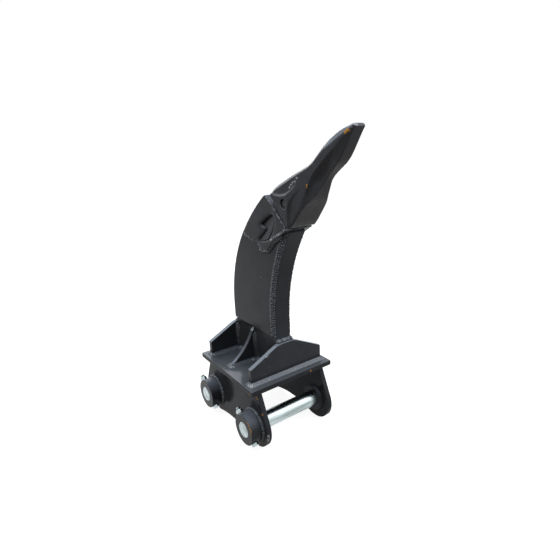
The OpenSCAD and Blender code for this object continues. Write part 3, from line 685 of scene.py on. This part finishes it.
def bead_runs(name, runs, chance):
    """One piece made of bead runs; each run is its points and its radius in metres."""
    pitch = bpy.context.scene.ripper_sizes.ripple
    ripple = ripple_shape()
    copies = []
    for points, radius in runs:
        for place, way in walk([Vector(p) for p in points], pitch):
            copy = ripple.copy()
            copy.data = ripple.data.copy()
            place = place + way * (pitch * chance.uniform(-RIPPLE_DRIFT, RIPPLE_DRIFT))
            size = radius * chance.uniform(*RIPPLE_SIZES)
            lean = Matrix.Rotation(chance.uniform(-RIPPLE_LEAN, RIPPLE_LEAN), 4, "X")
            turn = way.to_track_quat("Z", "Y").to_matrix().to_4x4()
            copy.matrix_world = Matrix.Translation(place) @ turn @ lean @ Matrix.Scale(size, 4)
            bpy.context.collection.objects.link(copy)
            copies.append(copy)
    bpy.data.objects.remove(ripple)
    return joined(copies, name)


def ring(centre_x, y, centre_z, radius, count=36):
    """Points round a circle that faces along Y."""
    turns = [2 * math.pi * i / count for i in range(count + 1)]
    return [(centre_x + radius * math.cos(t), y, centre_z + radius * math.sin(t)) for t in turns]


def tooth_axes():
    """Middle of the tooth's rim, the way to its tip and the way to its rear."""
    low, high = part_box("tooth_pin")
    along = Vector((math.cos(TOOTH_SLOPE), 0, math.sin(TOOTH_SLOPE)))
    back = Vector((-math.sin(TOOTH_SLOPE), 0, math.cos(TOOTH_SLOPE)))
    rim = (low + high) / 2 - TOOTH_PIN_FROM_RIM * along - TOOTH_PIN_OFF_AXIS * back
    return rim, along, back


# Operators

class RIPPER_OT_plates(bpy.types.Operator):
    """Round the edges of the plates: base, ears, shank, cheeks and gussets"""

    bl_idname = "ripper.plates"
    bl_label = "Plates"

    def execute(self, context):
        sizes = context.scene.ripper_sizes
        nodes = (
            "base_plate", "left_ear", "right_ear", "shank_core", "left_cheek", "right_cheek",
            "front_gusset", "rear_gusset", "left_side_gusset", "right_side_gusset")
        for node in nodes:
            piece = node_copy(node, node + "_plate")
            round_edges(piece, sizes.plate_edge)
            coats = [finish("plate_enamel")]
            if node == "base_plate":
                coats = [finish("base_enamel"), finish("side_enamel")]
                side = len(coats) - 1
                for face in piece.data.polygons:
                    if face.normal.z < TOP_FACE:
                        face.material_index = side
            elif node.endswith("ear"):
                coats = [finish("side_enamel")]
            elif node.endswith("gusset"):
                coats = [finish("gusset_enamel")]
            dress(piece, coats, "frame_paint", node)
        return {"FINISHED"}


class RIPPER_OT_turned(bpy.types.Operator):
    """Round the edges of the collars, the inner bosses and the hanger pins"""

    bl_idname = "ripper.turned"
    bl_label = "Turned pieces"

    def execute(self, context):
        sizes = context.scene.ripper_sizes
        nodes = (
            "front_collar", "rear_collar", "front_left_boss", "rear_left_boss",
            "front_right_boss", "rear_right_boss")
        for node in nodes:
            piece = node_copy(node, node + "_turned")
            round_edges(piece, sizes.turned_edge)
            dress(piece, [finish("plate_enamel")], "frame_paint", node)
        for node in ("dipper_pin", "link_pin"):
            piece = node_copy(node, node + "_turned")
            round_edges(piece, sizes.turned_edge)
            dress(piece, [finish("pin_zinc")], "zinc_plate", node)
        return {"FINISHED"}


class RIPPER_OT_bolts(bpy.types.Operator):
    """Cut threads on the cross bolts' tails and round the heads and nuts"""

    bl_idname = "ripper.bolts"
    bl_label = "Cross bolts"

    def execute(self, context):
        sizes = context.scene.ripper_sizes
        down = Vector((math.cos(BOLT_SLOPE), 0, -math.sin(BOLT_SLOPE)))
        for pin in ("dipper_pin", "link_pin"):
            nut = node_copy(pin + "_nut", pin + "_nut_hex")
            top = min(v.co.dot(down) for v in nut.data.vertices)
            round_edges(nut, sizes.turned_edge)
            dress(nut, [finish("bolt_zinc")], "zinc_plate", pin + "_nut")
            bolt = node_copy(pin + "_bolt", pin + "_bolt_threaded")
            corners = [v.co.copy() for v in bolt.data.vertices]
            tail = min(c.dot(down) for c in corners)
            ends = [c for c in corners if c.dot(down) < tail + BOLT_END]
            middle = sum(ends, Vector()) / len(ends)
            bpy.ops.object.mode_set(mode="EDIT")
            bpy.ops.mesh.select_all(action="SELECT")
            bpy.ops.mesh.bisect(
                plane_co=middle + down * (top - tail), plane_no=down, use_fill=True, clear_inner=True)
            bpy.ops.object.mode_set(mode="OBJECT")
            round_edges(bolt, sizes.turned_edge)
            thread = self.thread(middle, down, top - tail)
            bolt = joined([bolt, thread], pin + "_bolt_threaded")
            dress(bolt, [finish("bolt_zinc")], "zinc_plate", pin + "_bolt")
        return {"FINISHED"}

    @staticmethod
    def thread(end, way, length):
        """Threaded tail from its end, made ring by ring."""
        bpy.ops.object.select_all(action="DESELECT")
        bpy.ops.mesh.primitive_circle_add(vertices=20, radius=BOLT_RADIUS * THREAD_END, fill_type="NGON")
        thread = bpy.context.object
        bpy.ops.object.mode_set(mode="EDIT")
        bpy.ops.mesh.select_all(action="SELECT")
        steps = round(2 * length / THREAD_PITCH)
        for i in range(steps):
            bpy.ops.mesh.extrude_region_move(TRANSFORM_OT_translate={"value": (0, 0, length / steps)})
            size = 1 / ROOT_OVER_CREST if i % 2 else ROOT_OVER_CREST
            if i == 0:
                size = 1 / THREAD_END
            bpy.ops.transform.resize(value=(size, size, 1))
        bpy.ops.mesh.select_all(action="SELECT")
        bpy.ops.mesh.normals_make_consistent(inside=False)
        bpy.ops.object.mode_set(mode="OBJECT")
        bpy.ops.object.shade_smooth_by_angle(angle=math.radians(20))
        thread.matrix_world = Matrix.Translation(end) @ way.to_track_quat("Z", "Y").to_matrix().to_4x4()
        return thread


class RIPPER_OT_castings(bpy.types.Operator):
    """Give the adapter and the tooth their soft cast skin, and dress the tooth pin"""

    bl_idname = "ripper.castings"
    bl_label = "Castings"

    def execute(self, context):
        sizes = context.scene.ripper_sizes
        for node in ("adapter", "tooth"):
            piece = node_copy(node, node + "_casting")
            apply_modifier(
                piece, "REMESH", mode="VOXEL", voxel_size=sizes.cast_skin, use_smooth_shade=True)
            apply_modifier(piece, "SMOOTH", factor=0.5, iterations=2)
            if node == "adapter":
                self.soften_opening(piece)
            only(piece)
            bpy.ops.object.shade_smooth()
            dress(piece, [finish("cast_enamel")], "cast_paint", node)
        for node in ("tooth_pin", "tooth_pin_retainer"):
            piece = node_copy(node, node + "_steel")
            round_edges(piece, sizes.turned_edge)
            dress(piece, [finish("pin_steel")], "bare_steel", node)
        return {"FINISHED"}

    @staticmethod
    def soften_opening(piece):
        """Washes out the edges of the hollow in the adapter's legs, as the mould leaves them."""
        rim, along, back = tooth_axes()
        only(piece)
        bpy.ops.object.mode_set(mode="EDIT")
        bpy.ops.mesh.select_mode(type="VERT")
        for side in (-1, 1):
            bpy.ops.mesh.select_all(action="DESELECT")
            bpy.ops.object.mode_set(mode="OBJECT")
            for vertex in piece.data.vertices:
                out = vertex.co - rim
                in_length = HOLLOW_ALONG[0] < out.dot(along) < HOLLOW_ALONG[1]
                in_depth = HOLLOW_BACK[0] < out.dot(back) < HOLLOW_BACK[1]
                vertex.select = in_length and in_depth and side * out.y > HOLLOW_OUT
            bpy.ops.object.mode_set(mode="EDIT")
            bpy.ops.mesh.vertices_smooth(factor=0.5, repeat=HOLLOW_PASSES)
        bpy.ops.object.mode_set(mode="OBJECT")


class RIPPER_OT_gusset_beads(bpy.types.Operator):
    """Lay the weld beads round the gussets and along the shank's foot"""

    bl_idname = "ripper.gusset_beads"
    bl_label = "Gusset welds"

    def execute(self, context):
        radius = context.scene.ripper_sizes.bead
        core_low, core_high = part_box("shank_core")
        foot = core_low.z
        runs = []
        faces = {}
        for node in ("front_gusset", "rear_gusset"):
            low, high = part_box(node)
            runs.append(([
                (low.x, low.y, foot), (high.x, low.y, foot), (high.x, high.y, foot),
                (low.x, high.y, foot), (low.x, low.y, foot)], radius * GUSSET_FOOT_BEAD))
            inner = low.x if node == "front_gusset" else high.x
            faces[node] = inner
            for y in (core_low.y, core_high.y):
                runs.append(([(inner, y, foot), (inner, y, high.z - radius)], radius))
            runs.append((
                [(inner, core_low.y, high.z), (inner, core_high.y, high.z)], radius * GUSSET_TOP_BEAD))
        for node, y in (("left_side_gusset", core_low.y), ("right_side_gusset", core_high.y)):
            low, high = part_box(node)
            toe = low.y if y < 0 else high.y
            runs.append(([
                (low.x, y, foot), (low.x, toe, foot), (high.x, toe, foot), (high.x, y, foot)], radius))
            for x in (low.x, high.x):
                runs.append(([(x, y, foot), (x, y, high.z - radius)], radius * SIDE_GUSSET_BEAD))
            runs.append(([(low.x, y, high.z), (high.x, y, high.z)], radius * SIDE_GUSSET_BEAD))
            runs.append(([(faces["rear_gusset"], y, foot), (low.x, y, foot)], radius))
            runs.append(([(high.x, y, foot), (faces["front_gusset"], y, foot)], radius))
        beads = bead_runs("gusset_beads", runs, random.Random(11))
        under = node_copy("gusset_welds", "gusset_bead_root")
        piece = joined([beads, under], "gusset_beads")
        dress(piece, [finish("weld_enamel")], "weld_paint", "gusset_welds")
        return {"FINISHED"}


class RIPPER_OT_hanger_beads(bpy.types.Operator):
    """Lay the weld beads along the ears and round the collars"""

    bl_idname = "ripper.hanger_beads"
    bl_label = "Hanger welds"

    def execute(self, context):
        radius = context.scene.ripper_sizes.bead
        runs = []
        plate_low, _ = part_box("base_plate")
        weld_low, weld_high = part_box("ear_welds")
        for node in ("left_ear", "right_ear"):
            low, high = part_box(node)
            for y in (low.y, high.y):
                runs.append((
                    [(weld_low.x, y, plate_low.z), (weld_high.x, y, plate_low.z)], radius * EAR_BEAD))
        piece = bead_runs("ear_beads", runs, random.Random(12))
        dress(piece, [finish("weld_enamel")], "weld_paint", "ear_welds")
        runs = []
        for node in ("front_collar", "rear_collar"):
            low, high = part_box(node)
            middle = (low + high) / 2
            runs.append((ring(middle.x, high.y, middle.z, (high.z - low.z) / 2), radius))
        piece = bead_runs("collar_beads", runs, random.Random(13))
        dress(piece, [finish("weld_enamel")], "weld_paint", "collar_welds")
        return {"FINISHED"}


class RIPPER_OT_cheek_beads(bpy.types.Operator):
    """Lay the broad welds down the cheek plates' front edges"""

    bl_idname = "ripper.cheek_beads"
    bl_label = "Cheek welds"

    def execute(self, context):
        radius = context.scene.ripper_sizes.bead
        _, plate_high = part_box("base_plate")
        _, core_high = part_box("shank_core")
        weld_low, weld_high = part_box("cheek_welds")
        front_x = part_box("front_gusset")[0].x
        bend_z = plate_high.z + BEND_HEIGHT
        centre_x = front_x + FRONT_RADIUS
        runs = []
        for side in (-1, 1):
            skin = side * core_high.y
            for inset, lift, size in CHEEK_PASSES:
                y = skin + side * lift
                reach = FRONT_RADIUS + inset
                top = math.asin((weld_high.z - CHEEK_STOP - bend_z) / reach)
                turns = [top * i / CHEEK_STEPS for i in range(CHEEK_STEPS + 1)]
                arc = [(centre_x - reach * math.cos(t), y, bend_z + reach * math.sin(t)) for t in turns]
                runs.append(([(front_x - inset, y, weld_low.z), *arc], radius * size))
        beads = bead_runs("cheek_beads", runs, random.Random(14))
        under = node_copy("cheek_welds", "cheek_bead_root")
        piece = joined([beads, under], "cheek_beads")
        dress(piece, [finish("weld_enamel")], "weld_paint", "cheek_welds")
        return {"FINISHED"}


class RIPPER_OT_adapter_beads(bpy.types.Operator):
    """Lay the welds round the adapter's legs and on the ledge behind"""

    bl_idname = "ripper.adapter_beads"
    bl_label = "Adapter welds"

    def execute(self, context):
        sizes = context.scene.ripper_sizes
        radius = sizes.bead * ADAPTER_BEAD
        rim, along, back = tooth_axes()
        _, cheek_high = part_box("right_cheek")

        def at(s, n, y):
            """Place from millimetres along the tooth and to its rear."""
            place = rim + along * (s / 1000) + back * (n / 1000)
            return (place.x, y, place.z)

        runs = []
        for side in (-1, 1):
            runs.append(([at(s, n, side * cheek_high.y) for s, n in LEG_CORNERS], radius))
        ledge = LEG_CORNERS[0]
        runs.append(([at(*ledge, -cheek_high.y), at(*ledge, cheek_high.y)], radius))
        beads = bead_runs("adapter_beads", runs, random.Random(15))
        beads.data.materials.append(finish("weld_enamel"))
        under = node_copy("adapter_welds", "adapter_bead_root")
        apply_modifier(under, "REMESH", mode="VOXEL", voxel_size=sizes.cast_skin, use_smooth_shade=True)
        apply_modifier(under, "SMOOTH", factor=0.5, iterations=8)
        under.data.materials.clear()
        under.data.materials.append(finish("cast_enamel"))
        piece = joined([beads, under], "adapter_beads")
        dress(piece, [finish("weld_enamel"), finish("cast_enamel")], "weld_paint", "adapter_welds")
        return {"FINISHED"}


class RIPPER_OT_stage(bpy.types.Operator):
    """Set the floor, the sky, the lamps and the camera"""

    bl_idname = "ripper.stage"
    bl_label = "Stage"

    def execute(self, context):
        scene = context.scene
        scene.view_settings.view_transform = "Standard"
        self.floor(scene)
        self.sky(scene)
        self.lamps()
        self.camera(scene)
        return {"FINISHED"}

    @staticmethod
    def floor(scene):
        """Pale floor that camera and mirror rays see as white, apart from the shadow."""
        bpy.ops.object.select_all(action="DESELECT")
        bpy.ops.mesh.primitive_plane_add(size=FLOOR_SIZE, location=(0, 0, cad_box[0][2]))
        floor = bpy.context.object
        floor.name = "studio_floor"
        material, tree, _ = new_material("studio_floor")
        glow = add_node(tree, "ShaderNodeEmission", {}, {
            "Color": rgba(scene.ripper_colours.floor), "Strength": 0.9})
        lit = add_node(tree, "ShaderNodeBsdfDiffuse", {}, {"Color": FLOOR_SHADE})
        white = add_node(tree, "ShaderNodeAddShader", {}, {0: glow.outputs[0], 1: lit.outputs[0]})
        ground = add_node(tree, "ShaderNodeBsdfDiffuse", {}, {"Color": rgba(scene.ripper_colours.ground)})
        mixed = add_node(tree, "ShaderNodeMixShader", {}, {
            0: directly_seen(tree), 1: ground.outputs[0], 2: white.outputs[0]})
        add_node(tree, "ShaderNodeOutputMaterial", {}, {"Surface": mixed.outputs[0]})
        floor.data.materials.append(material)

    @staticmethod
    def sky(scene):
        """Pale cool sky, brighter overhead; white where the camera or a mirror sees it."""
        world = bpy.data.worlds.new("studio_sky")
        world.use_nodes = True
        tree = world.node_tree
        tree.nodes.clear()
        way = add_node(tree, "ShaderNodeTexCoord").outputs["Generated"]
        height = add_node(tree, "ShaderNodeSeparateXYZ", {}, {"Vector": way})
        climb = add_node(tree, "ShaderNodeMapRange", {}, {
            "Value": height.outputs["Z"], "From Min": 0.0, "From Max": 0.8, "To Min": 0.22, "To Max": 0.4})
        light = add_node(tree, "ShaderNodeBackground", {}, {
            "Color": rgba(scene.ripper_colours.sky), "Strength": climb.outputs["Result"]})
        white = add_node(tree, "ShaderNodeBackground", {}, {"Color": (1, 1, 1, 1), "Strength": 1.0})
        mixed = add_node(tree, "ShaderNodeMixShader", {}, {
            0: directly_seen(tree), 1: light.outputs["Background"], 2: white.outputs["Background"]})
        add_node(tree, "ShaderNodeOutputWorld", {}, {"Surface": mixed.outputs["Shader"]})
        scene.world = world

    @staticmethod
    def lamps():
        """Two broad soft boxes, a fill from the front and a small bright lamp that draws the glints."""
        for name, (place, size, power) in LAMPS.items():
            bpy.ops.object.light_add(type="AREA", location=place)
            lamp = bpy.context.object
            lamp.name = name
            lamp.data.energy = power
            lamp.data.size = size
            aim = Vector(LAMP_AIM) - Vector(place)
            lamp.rotation_euler = aim.to_track_quat("-Z", "Y").to_euler()

    @staticmethod
    def camera(scene):
        """Camera at the photograph's place, for a square frame."""
        bpy.ops.object.camera_add()
        camera = bpy.context.object
        camera.name = "photo_camera"
        camera.data.sensor_width = CAMERA_SENSOR
        camera.data.lens = CAMERA_LENS
        turn = Matrix((CAMERA_RIGHT, CAMERA_UP, -Vector(CAMERA_FORWARD))).transposed()
        camera.matrix_world = Matrix.Translation(CAMERA_PLACE) @ turn.to_4x4()
        scene.camera = camera


OPERATORS = (
    RIPPER_OT_stage, RIPPER_OT_plates, RIPPER_OT_turned, RIPPER_OT_bolts, RIPPER_OT_castings,
    RIPPER_OT_gusset_beads, RIPPER_OT_hanger_beads, RIPPER_OT_cheek_beads, RIPPER_OT_adapter_beads)


class RIPPER_PT_panel(bpy.types.Panel):
    """Lists the ripper's sizes, colours and steps"""

    bl_idname = "RIPPER_PT_panel"
    bl_label = "Ripper"
    bl_space_type = "VIEW_3D"
    bl_region_type = "UI"
    bl_category = "Ripper"

    def draw(self, context):
        for name in RipperSizes.__annotations__:
            self.layout.prop(context.scene.ripper_sizes, name)
        for name in RipperColours.__annotations__:
            self.layout.prop(context.scene.ripper_colours, name)
        for operator in OPERATORS:
            self.layout.operator(operator.bl_idname)


CLASSES = (RipperSizes, RipperColours, *OPERATORS, RIPPER_PT_panel)


def register():
    for cls in CLASSES:
        bpy.utils.register_class(cls)
    bpy.types.Scene.ripper_sizes = bpy.props.PointerProperty(type=RipperSizes)
    bpy.types.Scene.ripper_colours = bpy.props.PointerProperty(type=RipperColours)


def unregister():
    del bpy.types.Scene.ripper_colours
    del bpy.types.Scene.ripper_sizes
    for cls in reversed(CLASSES):
        bpy.utils.unregister_class(cls)


def main():
    """Runs every step in order."""
    register()
    bpy.ops.ripper.stage()
    bpy.ops.ripper.plates()
    bpy.ops.ripper.turned()
    bpy.ops.ripper.bolts()
    bpy.ops.ripper.castings()
    bpy.ops.ripper.gusset_beads()
    bpy.ops.ripper.hanger_beads()
    bpy.ops.ripper.cheek_beads()
    bpy.ops.ripper.adapter_beads()
    bpy.context.view_layer.update()


if __name__ == "__main__":
    main()
